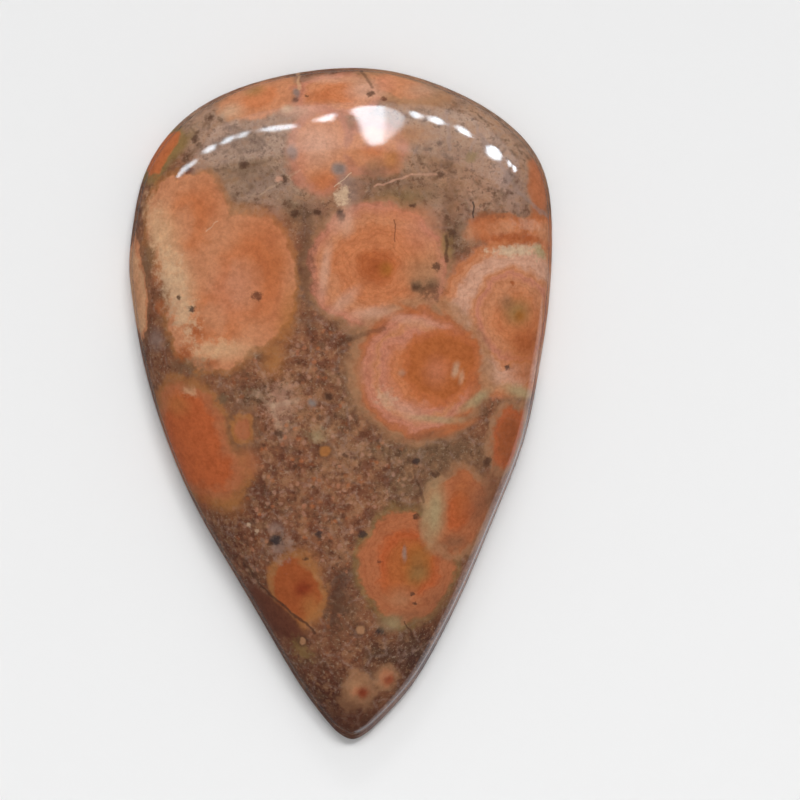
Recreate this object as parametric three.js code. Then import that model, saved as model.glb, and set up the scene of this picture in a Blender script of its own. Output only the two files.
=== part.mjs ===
// A pear-shaped cabochon of poppy jasper, lying on its flat back.
// Millimetres, +Z up. The broad end points to +Y and the point to -Y.
// The origin is under the middle of the stone's box, on the surface that it rests on.
import * as THREE from "three";
import { mergeVertices } from "three/addons/utils/BufferGeometryUtils.js";

// Driving dimensions
const THICKNESS = 6.6; // back to the top of the dome
const GIRDLE_HEIGHT = 1.3; // where the dome begins
const BEVEL_HEIGHT = 0.5; // the small bevel ground round the back
const GIRDLE_LEAN = 0.988; // the wall at the dome's foot, as a share of the outline
const BACK_SHARE = 0.965; // the flat back, as a share of the outline
const DOME_POWER = 2.7; // higher is flatter on top, with a tighter shoulder
const SUMMIT = new THREE.Vector2(0.2, 4.4); // the top of the dome, in plan
const CORE_HALF_WIDTH = 12.5; // the rounder contour that the dome takes on near its summit
const CORE_HALF_LENGTH = 18.5;

// Mesh fineness
const AROUND = 112; // points round the stone
const DOME_RINGS = 20; // rings from the summit to the girdle
const SPAN_STEPS = 24; // points of the fine outline between two of its given points
const RELAXATION_PASSES = 40; // enough for the control polygon to settle

// The outline in plan, from the point and on round the left side.
const OUTLINE = [
  [0.85, -24.0],
  [-0.4, -23.3],
  [-2.2, -21.1],
  [-4.0, -18.3],
  [-6.9, -13.3],
  [-10.1, -7.8],
  [-12.4, -2.6],
  [-14.0, 2.6],
  [-14.8, 7.0],
  [-15.1, 10.0],
  [-14.8, 13.0],
  [-13.8, 16.9],
  [-10.7, 20.75],
  [-5.4, 23.15],
  [0.9, 24.0],
  [6.0, 23.15],
  [10.8, 20.9],
  [14.2, 17.4],
  [15.1, 12.8],
  [14.9, 7.4],
  [14.2, 2.6],
  [13.1, -2.6],
  [11.1, -7.8],
  [8.8, -13.25],
  [6.25, -18.3],
  [4.3, -21.1],
  [2.15, -23.3],
].map(([x, y]) => new THREE.Vector2(x, y));

// The closed cubic spline through the points, with even curvature: the control
// polygon is found by relaxation, and each span is then a uniform cubic B-spline.
function closedSpline(points) {
  const count = points.length;
  const at = (list, i) => list[(i + count) % count];
  let control = points.map((p) => p.clone());
  for (let pass = 0; pass < RELAXATION_PASSES; pass++) {
    control = points.map((p, i) =>
      p
        .clone()
        .multiplyScalar(6)
        .sub(at(control, i - 1))
        .sub(at(control, i + 1))
        .divideScalar(4),
    );
  }
  const curve = [];
  for (let i = 0; i < count; i++) {
    for (let k = 0; k < SPAN_STEPS; k++) {
      const t = k / SPAN_STEPS;
      const weights = [
        (1 - t) ** 3,
        3 * t ** 3 - 6 * t ** 2 + 4,
        -3 * t ** 3 + 3 * t ** 2 + 3 * t + 1,
        t ** 3,
      ];
      const place = new THREE.Vector2();
      weights.forEach((w, j) => place.addScaledVector(at(control, i - 1 + j), w / 6));
      curve.push(place);
    }
  }
  return curve;
}

// Points spread evenly along a closed curve.
function spreadEvenly(curve, count) {
  const lengths = [0];
  curve.forEach((p, i) => {
    lengths.push(lengths[i] + p.distanceTo(curve[(i + 1) % curve.length]));
  });
  const total = lengths[curve.length];
  const spread = [];
  let span = 0;
  for (let i = 0; i < count; i++) {
    const wanted = (total * i) / count;
    while (lengths[span + 1] < wanted) span++;
    const share = (wanted - lengths[span]) / (lengths[span + 1] - lengths[span]);
    spread.push(curve[span].clone().lerp(curve[(span + 1) % curve.length], share));
  }
  return spread;
}

// The section from the summit down to the back: [share of the outline, height].
function section() {
  const rings = [];
  for (let i = 1; i <= DOME_RINGS; i++) {
    const share = Math.sin((Math.PI / 2) * (i / DOME_RINGS)); // closer rings at the shoulder
    const rise = Math.sqrt(Math.max(0, 1 - share ** DOME_POWER));
    rings.push([share * GIRDLE_LEAN, GIRDLE_HEIGHT + (THICKNESS - GIRDLE_HEIGHT) * rise]);
  }
  rings.push([1, BEVEL_HEIGHT], [BACK_SHARE, 0]);
  return rings;
}

// One point of the stone: near the summit the contours round off into an ellipse,
// and towards the girdle they take the shape of the outline.
function place(rim, share, height) {
  const arm = rim.clone().sub(SUMMIT);
  const reach = arm.length();
  const [dx, dy] = [arm.x / reach, arm.y / reach];
  const core = 1 / Math.hypot(dx / CORE_HALF_WIDTH, dy / CORE_HALF_LENGTH);
  const radius = share * THREE.MathUtils.lerp(core, reach, Math.min(1, share) ** 2);
  return [SUMMIT.x + dx * radius, SUMMIT.y + dy * radius, height];
}

function cabochonGeometry() {
  // The outline runs clockwise, and is turned round so that the faces point outwards.
  const rim = spreadEvenly(closedSpline(OUTLINE), AROUND).reverse();
  const rings = section();
  const positions = [SUMMIT.x, SUMMIT.y, THICKNESS];
  for (const [share, height] of rings) {
    for (const point of rim) positions.push(...place(point, share, height));
  }
  const foot = positions.length / 3;
  positions.push(SUMMIT.x, SUMMIT.y, 0);

  const vertex = (ring, i) => 1 + ring * AROUND + (i % AROUND);
  const last = rings.length - 1;
  const faces = [];
  for (let i = 0; i < AROUND; i++) {
    faces.push(0, vertex(0, i), vertex(0, i + 1));
    for (let ring = 0; ring < last; ring++) {
      const [a, b] = [vertex(ring, i), vertex(ring, i + 1)];
      const [c, d] = [vertex(ring + 1, i), vertex(ring + 1, i + 1)];
      faces.push(a, c, d, a, d, b);
    }
    faces.push(foot, vertex(last, i + 1), vertex(last, i));
  }

  const geometry = new THREE.BufferGeometry();
  geometry.setAttribute("position", new THREE.Float32BufferAttribute(positions, 3));
  geometry.setIndex(faces);
  const merged = mergeVertices(geometry);
  merged.computeVertexNormals();
  return merged;
}

const polishedJasper = new THREE.MeshStandardMaterial({
  color: new THREE.Color(0.6, 0.36, 0.25),
  roughness: 0.12,
  metalness: 0,
});

const stone = new THREE.Mesh(cabochonGeometry(), polishedJasper);
stone.name = "poppy_jasper_cabochon";

const part = new THREE.Group();
part.name = "poppy_jasper";
part.add(stone);

export default part;
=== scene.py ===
"""A polished pear-shaped cabochon of poppy jasper, with its markings, on a pale studio floor."""

import math

import bpy
from bpy.props import (
    FloatProperty,
    FloatVectorProperty,
    IntProperty,
    PointerProperty,
)
from mathutils import Euler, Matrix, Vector
from mathutils.bvhtree import BVHTree
from mathutils.interpolate import poly_3d_calc


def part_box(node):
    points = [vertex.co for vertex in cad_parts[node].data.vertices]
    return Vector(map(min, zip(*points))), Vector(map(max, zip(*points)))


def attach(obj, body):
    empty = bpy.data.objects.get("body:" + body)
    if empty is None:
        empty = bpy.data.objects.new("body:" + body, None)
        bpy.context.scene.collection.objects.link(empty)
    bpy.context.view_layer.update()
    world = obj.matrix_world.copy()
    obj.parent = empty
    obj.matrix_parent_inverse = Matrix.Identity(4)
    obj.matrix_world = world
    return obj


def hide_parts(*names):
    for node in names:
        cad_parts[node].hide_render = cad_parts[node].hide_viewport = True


bl_info = {
    "name": "Poppy Jasper Cabochon",
    "version": (1, 0, 0),
    "blender": (4, 5, 0),
    "location": "View3D > Sidebar > Jasper",
    "description": "Cuts and polishes a pear-shaped poppy jasper cabochon and lights it",
    "category": "Object",
}

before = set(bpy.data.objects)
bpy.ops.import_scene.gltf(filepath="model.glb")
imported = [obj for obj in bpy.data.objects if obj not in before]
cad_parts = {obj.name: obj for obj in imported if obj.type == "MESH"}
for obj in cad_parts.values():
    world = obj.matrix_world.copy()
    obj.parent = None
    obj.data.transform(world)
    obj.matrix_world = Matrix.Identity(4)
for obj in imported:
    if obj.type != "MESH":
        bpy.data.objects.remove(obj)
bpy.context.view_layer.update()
NODE = "poppy_jasper_cabochon"
LOW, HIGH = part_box(NODE)

MM = 0.001
PICTURE = 800  # pixels along each side of the picture
PIXEL = (HIGH.y - LOW.y) / 674  # one pixel of the picture, at the stone
STONE_MIDDLE = Vector((340.5, 404))  # the frame's origin, in the picture
TOUCHING = 1e-6  # metres between points that are one


def stone_colour(name, description, red, green, blue):
    """A colour of the stone, as it looks on the polished face."""
    return FloatVectorProperty(
        name=name,
        description=description,
        subtype="COLOR_GAMMA",
        size=3,
        min=0,
        max=1,
        default=(red / 255, green / 255, blue / 255),
    )


def length(name, description, millimetres, **settings):
    """A length of the stone or its stage, given in millimetres."""
    return FloatProperty(
        name=name,
        description=description,
        default=millimetres * MM,
        unit="LENGTH",
        precision=5,
        **settings,
    )


def amount(name, description, default, **settings):
    """A number without a unit, from nothing upwards."""
    return FloatProperty(name=name, description=description, default=default, min=0, **settings)


class JasperShape(bpy.types.PropertyGroup):
    """The cabochon's sizes."""

    thickness: length("Thickness", "From the back to the top of the dome", HIGH.z / MM)
    girdle: length("Girdle height", "Where the dome begins", 1.3)
    bevel: length("Bevel height", "The small bevel ground round the back", 0.5)
    lean: amount("Girdle lean", "The dome's foot, as a share of the outline", 0.988)
    back: amount("Back share", "The flat back, as a share of the outline", 0.965)
    power: amount("Dome power", "Higher is flatter on top", 2.7)
    summit: FloatVectorProperty(
        name="Summit",
        description="The top of the dome, in plan",
        size=2,
        subtype="XYZ",
        unit="LENGTH",
        default=(0.2 * MM, 4.4 * MM),
    )
    core_width: length("Core half width", "The rounder contour near the summit", 12.5)
    core_length: length("Core half length", "The rounder contour near the summit", 18.5)
    waviness: length("Waviness", "How far hand polishing leaves the dome from true", 0.05)
    rings: IntProperty(
        name="Rings", description="Rings of faces from the summit to the back", default=155, min=40
    )


class JasperColours(bpy.types.PropertyGroup):
    """The colours of the poppies and of the rock between them."""

    taupe: stone_colour("Taupe", "Grey-brown rock between the poppies", 168, 137, 115)
    loam: stone_colour("Loam", "Olive-brown stains", 118, 92, 68)
    umber: stone_colour("Umber", "Brown rock", 122, 86, 62)
    rust: stone_colour("Rust", "Reddish speckled rock", 136, 86, 60)
    maroon: stone_colour("Maroon", "Dark reddish rock", 100, 56, 40)
    # Partly the rock's own darkest red-brown and partly painted shade, used only on the lower slopes towards
    # the point
    oxblood_and_shade: stone_colour("Oxblood", "The darkest red-brown rock", 80, 42, 29)
    bark: stone_colour("Bark", "Dark brown seams", 80, 52, 38)
    soot: stone_colour("Soot", "Nearly black spots", 52, 42, 42)
    lilac: stone_colour("Lilac", "Lilac-grey chalcedony", 150, 124, 112)
    slate: stone_colour("Slate", "Grey quartz", 132, 120, 114)
    olive: stone_colour("Olive", "Olive halos", 138, 110, 66)
    moss: stone_colour("Moss", "Pale green-grey rims", 168, 150, 112)
    cream: stone_colour("Cream", "Cream rims and veins", 204, 172, 142)
    butter: stone_colour("Butter", "Yellowish cream on the left", 214, 170, 130)
    shell: stone_colour("Shell", "Palest pink of the poppies", 206, 156, 130)
    rose: stone_colour("Rose", "Pink rings", 194, 126, 100)
    peach: stone_colour("Peach", "The usual colour of a poppy", 198, 132, 94)
    apricot: stone_colour("Apricot", "Light orange", 198, 122, 80)
    orange: stone_colour("Orange", "Deep orange", 186, 104, 60)
    amber: stone_colour("Amber", "Brown-orange hearts", 176, 98, 52)
    coral: stone_colour("Coral", "Orange-pink rims", 178, 106, 69)
    ember: stone_colour("Ember", "Glowing orange bodies", 184, 94, 52)
    brick: stone_colour("Brick", "Brick orange hearts", 162, 84, 44)
    red: stone_colour("Red", "Small red hearts", 132, 50, 26)
    ochre: stone_colour("Ochre", "Yellow-brown rims", 172, 112, 62)
    honey: stone_colour("Honey", "Golden spots", 168, 104, 44)
    tan: stone_colour("Tan", "Tan halos", 168, 122, 88)


class JasperStage(bpy.types.PropertyGroup):
    """The floor, the camera and the lights."""

    camera_height: length("Camera height", "Above the floor", 600)
    floor: amount("Floor tone", "How pale the floor is", 0.9, max=1)
    daylight: amount("Daylight", "The soft light from all round", 0.475)
    ceiling: amount("Ceiling", "How bright the room is that the polish mirrors", 0.12)
    lamps: amount("Lamps", "How bright the mirrored lamps are", 30)
    glow: amount("Edge glow", "How bright the panel below the right edge is", 0.75)
    haze: amount("Haze", "How bright the wide mirrored panel is", 1.15)
    key: amount("Key lamp", "The soft lamp beyond the broad end, in watts", 18)


class Field:
    """A value that runs through a node tree. Arithmetic on it adds the nodes."""

    def __init__(self, tree, socket):
        self.tree = tree
        self.socket = socket

    def math(self, operation, *others, **settings):
        return node_of(self.tree, "ShaderNodeMath", self, *others, operation=operation, **settings)[0]

    def vector(self, operation, *others):
        return node_of(self.tree, "ShaderNodeVectorMath", self, *others, operation=operation)["Vector"]

    def span(self, low, high, start=0.0, end=1.0):
        """Goes smoothly from start to end as this goes from low to high."""
        return node_of(
            self.tree, "ShaderNodeMapRange", self, low, high, start, end, interpolation_type="SMOOTHSTEP"
        )[0]

    def scaled(self, amount):
        """This vector, made longer or shorter."""
        settings = {"named": {"Scale": amount}, "operation": "SCALE"}
        return node_of(self.tree, "ShaderNodeVectorMath", self, **settings)["Vector"]

    @property
    def size(self):
        return node_of(self.tree, "ShaderNodeVectorMath", self, operation="LENGTH")["Value"]

    def __add__(self, other):
        return self.math("ADD", other)

    def __sub__(self, other):
        return self.math("SUBTRACT", other)

    def __rsub__(self, other):
        return node_of(self.tree, "ShaderNodeMath", other, self, operation="SUBTRACT")[0]

    def __mul__(self, other):
        return self.math("MULTIPLY", other)

    def __truediv__(self, other):
        return self.math("DIVIDE", other)

    def __pow__(self, other):
        return self.math("POWER", other)

    __radd__ = __add__
    __rmul__ = __mul__


class Outputs:
    """A node's outputs, by number or name, as fields."""

    def __init__(self, tree, node):
        self.tree = tree
        self.node = node

    def __getitem__(self, key):
        return Field(self.tree, self.node.outputs[key])


def node_of(tree, kind, *values, named=None, **settings):
    """Adds a node, sets it and joins or sets its inputs, in order and by name."""
    node = tree.nodes.new(kind)
    for name, value in settings.items():
        setattr(node, name, value)
    wanted = {**dict(enumerate(values)), **(named or {})}
    for key, value in wanted.items():
        if isinstance(value, Field):
            tree.links.new(value.socket, node.inputs[key])
        elif value is not None:
            node.inputs[key].default_value = value
    return Outputs(tree, node)


# The stone's shape


def outline_mesh(shape):
    """A closed loop of edges through the girdle's widest points, in order round the summit."""
    centre = Vector(shape.summit)
    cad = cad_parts[NODE].data.vertices
    ring = {(round(v.co.x, 7), round(v.co.y, 7)) for v in cad if abs(v.co.z - shape.bevel) < 0.01 * MM}
    ring = sorted(ring, key=lambda p: math.atan2(p[1] - centre.y, p[0] - centre.x))
    if len(ring) < 50:
        raise RuntimeError("the packed stone has no ring of points at the bevel's height")
    mesh = bpy.data.meshes.new("girdle_outline")
    edges = [(i, (i + 1) % len(ring)) for i in range(len(ring))]
    mesh.from_pydata([(x, y, 0) for x, y in ring], edges, [])
    return mesh


def cabochon_tree(colours, surface):
    """Nodes that turn a closed outline into a cabochon: a dome, a girdle, a bevel and a flat back."""
    tree = bpy.data.node_groups.new("Cabochon", "GeometryNodeTree")
    tree.is_modifier = True
    tree.interface.new_socket("Outline", in_out="INPUT", socket_type="NodeSocketGeometry")
    lengths = ["Thickness", "Girdle height", "Bevel height", "Core half width", "Core half length"]
    lengths.append("Waviness")
    inputs = [(name, "Float") for name in (*lengths, "Girdle lean", "Back share", "Dome power")]
    inputs += [("Rings", "Int"), ("Seed", "Int"), ("Summit", "Vector"), ("Material", "Material")]
    for name, kind in inputs:
        socket = tree.interface.new_socket(name, in_out="INPUT", socket_type=f"NodeSocket{kind}")
        if name in lengths:
            socket.subtype = "DISTANCE"
    tree.interface.new_socket("Stone", in_out="OUTPUT", socket_type="NodeSocketGeometry")
    given = node_of(tree, "NodeGroupInput")

    # A square grid, whose rings become the stone's contours
    rings = given["Rings"]
    side = rings * 2 + 1
    grid = node_of(tree, "GeometryNodeMeshGrid", 2.0, 2.0, side, side)
    square = node_of(tree, "ShaderNodeSeparateXYZ", grid["UV Map"])
    across = square["X"] * 2 - 1
    along = square["Y"] * 2 - 1
    wide = across.math("ABSOLUTE")
    tall = along.math("ABSOLUTE")
    ring = wide.math("MAXIMUM", tall) * rings
    beside = wide.math("GREATER_THAN", tall)
    major = along + beside * (across - along)
    minor = across + beside * (along - across)
    lean = minor / (major + 1e-9) / 8
    turn_side = lean + across.math("LESS_THAN", 0.0) / 2
    turn_end = 0.25 - lean + along.math("LESS_THAN", 0.0) / 2
    turn = turn_end + beside * (turn_side - turn_end)
    rim_share = (turn + 0.5).math("FRACT")

    # The outline, as seen from the summit
    curve = node_of(tree, "GeometryNodeMeshToCurve", given["Outline"])["Curve"]
    curve = node_of(tree, "GeometryNodeCurveSplineType", curve, spline_type="CATMULL_ROM")["Curve"]
    rim = node_of(
        tree,
        "GeometryNodeSampleCurve",
        named={"Curves": curve, "Factor": rim_share},
        mode="FACTOR",
        use_all_curves=True,
    )["Position"]
    arm = rim.vector("SUBTRACT", given["Summit"])
    reach = arm.size
    heading = arm.vector("NORMALIZE")
    plan = node_of(tree, "ShaderNodeSeparateXYZ", heading)
    core_x = plan["X"] / given["Core half width"]
    core_y = plan["Y"] / given["Core half length"]
    core = (core_x * core_x + core_y * core_y) ** -0.5

    # The section, from the summit out to the back: each part adds its own share and height
    wall_rings, bevel_rings, back_rings = 8, 5, 3
    back_inset = 0.03
    dome_rings = rings - (wall_rings + bevel_rings + back_rings)

    def passed(start, count):
        return ((ring - start) / count).math("MINIMUM", 1.0).math("MAXIMUM", 0.0)

    dome = passed(0.0, dome_rings)
    wall = passed(dome_rings, wall_rings)
    bevel = passed(dome_rings + wall_rings, bevel_rings)
    back = passed(dome_rings + (wall_rings + bevel_rings), back_rings)
    out = (dome * (math.pi / 2)).math("SINE")
    rise = (1 - out ** given["Dome power"]).math("MAXIMUM", 0.0).math("SQRT")
    share = out * given["Girdle lean"] + wall * (1 - given["Girdle lean"])
    share = share - bevel * (1 - given["Back share"]) - back * back_inset
    height = given["Girdle height"] + (given["Thickness"] - given["Girdle height"]) * rise
    height = height - wall * (given["Girdle height"] - given["Bevel height"]) - bevel * given["Bevel height"]
    bulge = share * share
    radius = share * (core + (reach - core) * bulge)
    place = heading.scaled(radius).vector("ADD", given["Summit"])
    place = place.vector("ADD", node_of(tree, "ShaderNodeCombineXYZ", 0.0, 0.0, height)["Vector"])
    stone = placed(tree, grid["Mesh"], Position=place)

    # The girdle's edges are rounded a little, and polishing leaves the dome slightly wavy
    position = node_of(tree, "GeometryNodeInputPosition")["Position"]
    near_girdle = passed(dome_rings - 2, 2) * (1 - passed(rings - 2, 1))
    blurred = node_of(
        tree,
        "GeometryNodeBlurAttribute",
        named={"Value": position, "Iterations": 3, "Weight": near_girdle},
        data_type="FLOAT_VECTOR",
    )
    vector_out = next(i for i, s in enumerate(blurred.node.outputs) if s.enabled and s.type == "VECTOR")
    stone = placed(tree, stone, Position=blurred[vector_out])
    noise = node_of(
        tree,
        "ShaderNodeTexNoise",
        named={"Vector": position, "Scale": 140.0, "Detail": 1.0, "W": given["Seed"]},
        noise_dimensions="4D",
    )[0]
    normal = node_of(tree, "GeometryNodeInputNormal")["Normal"]
    wave = (noise - 0.5) * given["Waviness"] * (1 - passed(dome_rings - 12, 12))
    stone = placed(tree, stone, Offset=normal.scaled(wave))
    # On the map, the dome takes the lower three fifths and the flat back lies above it
    stone = uv_mapped(tree, stone, square["Y"] * 0.98 + 0.01, square["X"] * 0.61 + 0.01)

    # The flat back
    sides = node_of(tree, "GeometryNodeInputMeshEdgeNeighbors")["Face Count"]
    edge = node_of(tree, "GeometryNodeMeshToCurve", stone, sides.math("LESS_THAN", 1.5))["Curve"]
    fill = node_of(tree, "GeometryNodeFillCurve", edge, mode="NGONS")["Mesh"]
    facing = node_of(tree, "ShaderNodeSeparateXYZ", normal)["Z"]
    fill = node_of(tree, "GeometryNodeFlipFaces", fill, facing.math("GREATER_THAN", 0.0))["Mesh"]
    plan = node_of(tree, "ShaderNodeSeparateXYZ", position)
    fill = uv_mapped(tree, fill, plan["Y"] * 11.6 + 0.3, plan["X"] * 11.6 + 0.81)

    joined = tree.nodes.new("GeometryNodeJoinGeometry")
    tree.links.new(fill.socket, joined.inputs[0])
    tree.links.new(stone.socket, joined.inputs[0])
    whole = Field(tree, joined.outputs[0])
    whole = node_of(
        tree, "GeometryNodeMergeByDistance", named={"Geometry": whole, "Distance": TOUCHING}
    )["Geometry"]
    whole = node_of(tree, "GeometryNodeSetShadeSmooth", whole)["Geometry"]
    whole = store_markings(tree, whole, position, colours, surface)
    whole = node_of(tree, "GeometryNodeRealizeInstances", whole)["Geometry"]
    whole = node_of(
        tree, "GeometryNodeSetMaterial", named={"Geometry": whole, "Material": given["Material"]}
    )["Geometry"]
    node_of(tree, "NodeGroupOutput", whole)
    return tree


def placed(tree, geometry, **moves):
    """Sets the Position of the mesh's points, or moves them by an Offset."""
    return node_of(tree, "GeometryNodeSetPosition", named={"Geometry": geometry, **moves})["Geometry"]


def stored(tree, geometry, name, value, data_type, domain="POINT"):
    """Keeps a value on the mesh under a name."""
    return node_of(
        tree,
        "GeometryNodeStoreNamedAttribute",
        named={"Geometry": geometry, "Name": name, "Value": value},
        data_type=data_type,
        domain=domain,
    )["Geometry"]


def uv_mapped(tree, geometry, across, up):
    """Stores flat coordinates on the mesh, so that each face has its own place on a map."""
    place = node_of(tree, "ShaderNodeCombineXYZ", across, up, 0.0)["Vector"]
    return stored(tree, geometry, "OFBake", place, "FLOAT2", "CORNER")


def store_markings(tree, geometry, position, colours, surface):
    """Stores the rock's soft changes and the stains on the poppies, which the material reads."""
    painter = Painter(tree, colours, surface, position)
    painter.colour = painter.shade("rust")
    for mark in ROCK:
        painter.patch(*mark)
    geometry = stored(tree, geometry, "ground", painter.colour, "FLOAT_COLOR")
    painter.colour = (0.0, 0.0, 0.0, 1.0)
    painter.unstained = 1.0
    for mark in PATCHES:
        painter.patch(*mark)
    geometry = stored(tree, geometry, "stains", painter.colour, "FLOAT_COLOR")
    return stored(tree, geometry, "unstained", painter.unstained, "FLOAT")


def cut_stone(shape, colours, material):
    """The cabochon as a plain mesh object."""
    stone = bpy.data.objects.new("polished_stone", outline_mesh(shape))
    bpy.context.scene.collection.objects.link(stone)
    modifier = stone.modifiers.new("Cabochon", "NODES")
    modifier.node_group = cabochon_tree(colours, Surface(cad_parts[NODE]))
    values = {
        "Thickness": shape.thickness,
        "Girdle height": shape.girdle,
        "Bevel height": shape.bevel,
        "Girdle lean": shape.lean,
        "Back share": shape.back,
        "Dome power": shape.power,
        "Summit": (*shape.summit, 0.0),
        "Core half width": shape.core_width,
        "Core half length": shape.core_length,
        "Waviness": shape.waviness,
        "Rings": shape.rings,
        "Seed": 3,
        "Material": material,
    }
    for socket in modifier.node_group.interface.items_tree:
        if socket.name in values:
            modifier[socket.identifier] = values[socket.name]
    finished = bpy.data.meshes.new_from_object(stone.evaluated_get(bpy.context.evaluated_depsgraph_get()))
    stone.modifiers.remove(modifier)
    stone.data = finished
    finished.name = "polished_stone"
    finished.materials.clear()
    finished.materials.append(material)
    if not finished.polygons:
        raise RuntimeError("the cabochon's nodes made no faces")
    return stone


class Surface:
    """Finds points, slopes and mirrored rays on the finished stone."""

    def __init__(self, stone):
        self.mesh = stone.data
        vertices = [v.co.copy() for v in self.mesh.vertices]
        self.tree = BVHTree.FromPolygons(vertices, [tuple(p.vertices) for p in self.mesh.polygons])

    def seen(self, origin, heading):
        """The first point that a ray meets, and the smooth slope there."""
        point, _, index, _ = self.tree.ray_cast(origin, heading)
        if point is None:
            return None, None
        corners = [self.mesh.vertices[v] for v in self.mesh.polygons[index].vertices]
        weights = poly_3d_calc([v.co for v in corners], point)
        normal = sum((v.normal * w for v, w in zip(corners, weights)), Vector())
        return point, normal.normalized()

    def under(self, x, y):
        """The point on the dome under a point of the picture, in millimetres."""
        spot = in_frame(x, y)
        point, _ = self.seen(Vector((spot.x, spot.y, 0.1)), Vector((0, 0, -1)))
        if point is None:
            point = Vector((spot.x, spot.y, 0.001))
        return point / MM


def in_frame(x, y):
    """A point of the picture, in the frame's plan."""
    return Vector(((x - STONE_MIDDLE.x) * PIXEL, (STONE_MIDDLE.y - y) * PIXEL))


# The stone's markings. Places and sizes are in pixels of the picture, x to the right and y down;
# each marking is a body in the stone, so it carries on round the edge.

# Soft changes in the rock, stored on the mesh: x, y, half width, half height, clockwise turn in degrees,
# softness of the edge, strength and colour
ROCK = [
    (265, 165, 80, 80, 0, 0.7, 1.0, "taupe"),
    (210, 130, 60, 35, 30, 0.6, 0.9, "taupe"),
    (455, 150, 115, 90, 0, 0.7, 1.0, "taupe"),
    (225, 165, 26, 16, 20, 0.9, 0.2, "loam"),
    (262, 185, 24, 16, -20, 0.9, 0.7, "lilac"),
    (292, 178, 18, 14, 0, 0.9, 0.6, "lilac"),
    (292, 218, 20, 24, 0, 0.8, 0.8, "loam"),
    (268, 212, 18, 12, 0, 0.9, 0.5, "lilac"),
    (245, 140, 20, 10, 0, 0.9, 0.6, "loam"),
    (450, 150, 26, 18, 0, 0.9, 0.25, "loam"),
    (420, 190, 40, 16, 0, 0.9, 0.6, "loam"),
    (455, 215, 14, 36, 0, 0.8, 0.8, "umber"),
    (445, 162, 48, 36, 0, 0.9, 0.5, "tan"),
    # Painted reflection: this lilac patch and the last two lilac lines in SEAMS paint the lilac-grey haze
    # that the right shoulder mirrors
    (512, 186, 17, 36, -15, 0.8, 0.7, "lilac"),
    (392, 182, 22, 12, -10, 0.9, 0.5, "umber"),
    (480, 190, 12, 24, 0, 0.9, 0.3, "umber"),
    (470, 225, 16, 16, 0, 0.9, 0.5, "lilac"),
    (468, 192, 52, 34, 0, 0.9, 0.3, "shell"),
    (215, 128, 40, 28, 25, 0.9, 0.12, "shell"),
    (400, 200, 30, 10, 0, 0.9, 0.7, "olive"),
    (456, 240, 14, 12, 0, 0.8, 0.7, "loam"),
    (305, 262, 10, 50, 0, 0.8, 0.4, "maroon"),
    (308, 300, 12, 14, 0, 0.9, 0.6, "tan"),
    (335, 340, 40, 14, 30, 0.8, 0.35, "maroon"),
    (348, 400, 16, 50, 10, 0.9, 0.6, "loam"),
    (400, 450, 60, 16, 0, 0.8, 0.8, "loam"),
    (300, 380, 26, 26, 0, 0.9, 0.4, "umber"),
    (285, 415, 13, 28, -10, 0.9, 0.6, "taupe"),
    (316, 425, 26, 22, 0, 0.9, 0.6, "tan"),
    (340, 465, 26, 20, 0, 0.9, 0.5, "tan"),
    (450, 455, 60, 24, 0, 0.6, 0.7, "loam"),
    (405, 485, 34, 22, 0, 0.8, 0.8, "loam"),
    (258, 500, 26, 60, 15, 0.8, 0.7, "maroon"),
    (150, 345, 18, 45, -15, 0.7, 0.8, "maroon"),
    (262, 395, 36, 14, 0, 0.8, 0.7, "loam"),
    (240, 560, 16, 60, -30, 0.8, 0.8, "maroon"),
    # The dark red-brown patches from here towards the point are partly the rock's own colour and partly
    # painted shade, where the dome slopes away from the key lamp
    (228, 532, 22, 28, -25, 0.8, 0.5, "oxblood_and_shade"),
    (275, 650, 24, 80, -30, 0.7, 0.9, "maroon"),
    (330, 700, 60, 42, 20, 0.8, 1.0, "oxblood_and_shade"),
    (360, 735, 50, 22, 0, 0.9, 0.6, "maroon"),
    (345, 655, 60, 40, 0, 0.8, 0.5, "maroon"),
    (382, 652, 24, 18, 0, 0.8, 0.9, "bark"),
    (425, 655, 32, 55, 25, 0.7, 0.9, "oxblood_and_shade"),
    (414, 652, 22, 24, 20, 0.9, 0.5, "soot"),
    (345, 600, 20, 50, 0, 0.8, 0.4, "umber"),
]

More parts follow.
